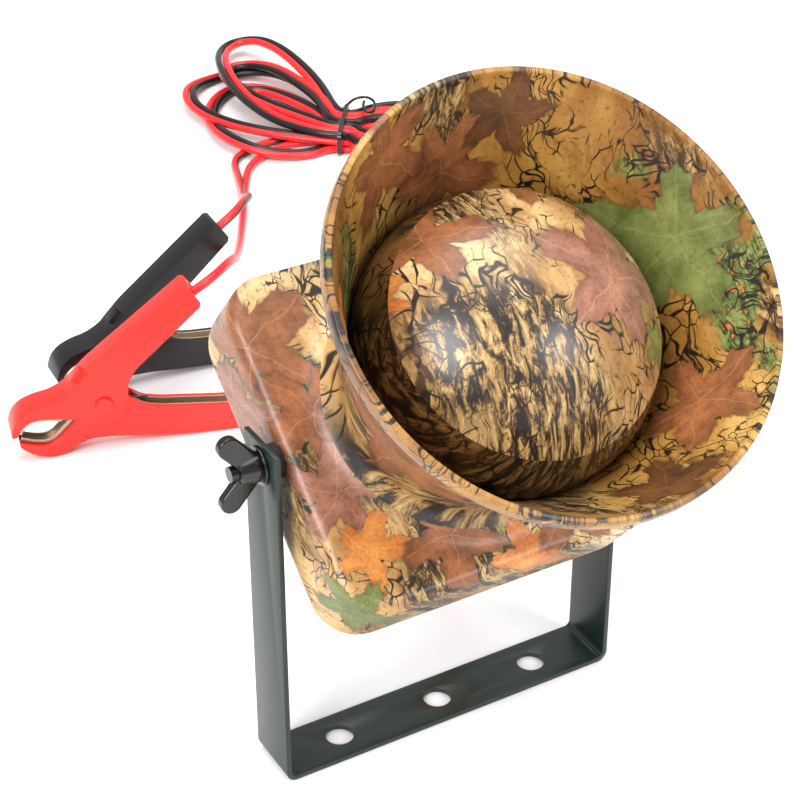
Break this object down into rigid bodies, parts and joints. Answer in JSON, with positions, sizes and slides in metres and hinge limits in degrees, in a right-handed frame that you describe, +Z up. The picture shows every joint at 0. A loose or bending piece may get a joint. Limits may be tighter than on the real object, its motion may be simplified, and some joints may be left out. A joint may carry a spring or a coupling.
{
  "type": "electronic game caller",
  "caption": "Re-entrant horn on a box housing that tilts in a U bracket, with a tied twin lead to two battery clips.",
  "frame": {"origin": "middle of the bracket's underside, at its middle screw hole", "axes": "+X along the tilt axis, the horn faces -Y and up, +Z up"},
  "size_m": [0.393, 0.7724, 0.2807],
  "materials": {
    "bracket_paint": "dark green powder coat, semi-gloss",
    "camo_plastic": "film-printed leaf and bark pattern under clear lacquer",
    "black_plastic": "fine-grained moulding",
    "black_hardware": "glossy black",
    "red_sleeve": "soft vinyl sleeve",
    "black_sleeve": "soft vinyl sleeve",
    "red_lead": "vinyl insulation",
    "black_lead": "vinyl insulation",
    "plated_steel": "nickel-plated spring steel",
    "zinc_steel": "zinc-plated",
    "magnet_ferrite": "sintered ferrite",
    "driver_steel": "zinc-plated",
    "diaphragm_film": "polyimide film",
    "seal_rubber": "soft",
    "board_laminate": "solder mask",
    "sink_aluminium": "extruded",
    "screen_glass": "clear window",
    "screen_face": "unlit liquid crystal",
    "key_rubber": "soft-touch"
  },
  "bodies": {
    "stand": {"bracket": "bracket_paint", "clip_black_core": "plated_steel", "clip_black_lower": "black_sleeve", "clip_black_rivet": "plated_steel", "clip_black_spring": "plated_steel", "clip_red_core": "plated_steel", "clip_red_lower": "red_sleeve", "clip_red_rivet": "plated_steel", "clip_red_spring": "plated_steel", "hank": "red_lead", "hank_tie": "black_hardware", "lead_black_drop": "black_lead", "lead_black_feed": "black_lead", "lead_black_tail": "black_lead", "lead_red_drop": "red_lead", "lead_red_feed": "red_lead", "lead_red_tail": "red_lead"},
    "head": {"bell": "camo_plastic", "housing": "camo_plastic", "reflector_dome": "camo_plastic", "reflector_skirt": "camo_plastic", "tone_arm": "black_plastic", "driver_diaphragm": "diaphragm_film", "driver_flange": "driver_steel", "driver_magnet": "magnet_ferrite", "driver_yoke": "driver_steel", "amp_board": "board_laminate", "heat_sink": "sink_aluminium", "back_panel": "black_plastic", "panel_seal": "seal_rubber", "panel_screw_1": "black_hardware", "panel_screw_2": "black_hardware", "panel_screw_3": "black_hardware", "panel_screw_4": "black_hardware", "screen_window": "screen_glass", "screen_module": "screen_face", "key_board": "board_laminate", "rocker_frame": "black_hardware", "card_socket": "black_plastic", "usb_socket": "zinc_steel", "cable_gland": "black_plastic", "gland_nut": "black_plastic", "pivot_stud_left": "black_hardware", "pivot_stud_right": "black_hardware", "friction_pad_left": "seal_rubber", "friction_pad_right": "seal_rubber", "washer_left": "black_hardware", "washer_right": "black_hardware"},
    "rocker": {"rocker": "black_hardware"},
    "wing_nut_left": {"wing_nut_left": "black_hardware"},
    "wing_nut_right": {"wing_nut_right": "black_hardware"},
    "clip_red_upper": {"clip_red_upper": "red_sleeve"},
    "clip_black_upper": {"clip_black_upper": "black_sleeve"},
    "key_play": {"key_play": "key_rubber"},
    "key_up": {"key_up": "key_rubber"},
    "key_down": {"key_down": "key_rubber"},
    "key_previous": {"key_previous": "key_rubber"},
    "key_next": {"key_next": "key_rubber"}
  },
  "joints": [
    {"name": "tilt", "type": "hinge", "parent": "stand", "child": "head", "pos_m": [0, 0, 0.1413], "axis": [1, 0, 0], "range_deg": [-40, 80], "deforming": ["lead_red_drop", "lead_black_drop"]},
    {"name": "wing_nut_left_turn", "type": "hinge", "parent": "head", "child": "wing_nut_left", "pos_m": [-0.08, 0, 0.1413], "axis": [1, 0, 0], "continuous": true},
    {"name": "wing_nut_right_turn", "type": "hinge", "parent": "head", "child": "wing_nut_right", "pos_m": [0.08, 0, 0.1413], "axis": [1, 0, 0], "continuous": true},
    {"name": "rocker_tip", "type": "hinge", "parent": "head", "child": "rocker", "pos_m": [-0.03, 0.01183, 0.11197], "axis": [1, 0, 0], "range_deg": [-14, 0]},
    {"name": "key_play_press", "type": "slide", "parent": "head", "child": "key_play", "axis": [0, -0.6481, 0.7615], "range_m": [0, 0.001], "stiffness_N_per_m": 900},
    {"name": "key_up_press", "type": "slide", "parent": "head", "child": "key_up", "axis": [0, -0.6481, 0.7615], "range_m": [0, 0.001], "stiffness_N_per_m": 900},
    {"name": "key_down_press", "type": "slide", "parent": "head", "child": "key_down", "axis": [0, -0.6481, 0.7615], "range_m": [0, 0.001], "stiffness_N_per_m": 900},
    {"name": "key_previous_press", "type": "slide", "parent": "head", "child": "key_previous", "axis": [0, -0.6481, 0.7615], "range_m": [0, 0.001], "stiffness_N_per_m": 900},
    {"name": "key_next_press", "type": "slide", "parent": "head", "child": "key_next", "axis": [0, -0.6481, 0.7615], "range_m": [0, 0.001], "stiffness_N_per_m": 900},
    {"name": "clip_red_open", "type": "hinge", "parent": "stand", "child": "clip_red_upper", "pos_m": [-0.03906, 0.24384, 0.026], "axis": [0.2436, 0.9699, 0], "range_deg": [0, 26], "stiffness_Nm_per_rad": 0.9, "springref_deg": -20.05, "deforming": ["clip_red_spring", "lead_red_tail"]},
    {"name": "clip_black_open", "type": "hinge", "parent": "stand", "child": "clip_black_upper", "pos_m": [-0.00111, 0.28786, 0.026], "axis": [0.0698, 0.9976, 0], "range_deg": [0, 26], "stiffness_Nm_per_rad": 0.9, "springref_deg": -20.05, "deforming": ["clip_black_spring", "lead_black_tail"]}
  ]
}
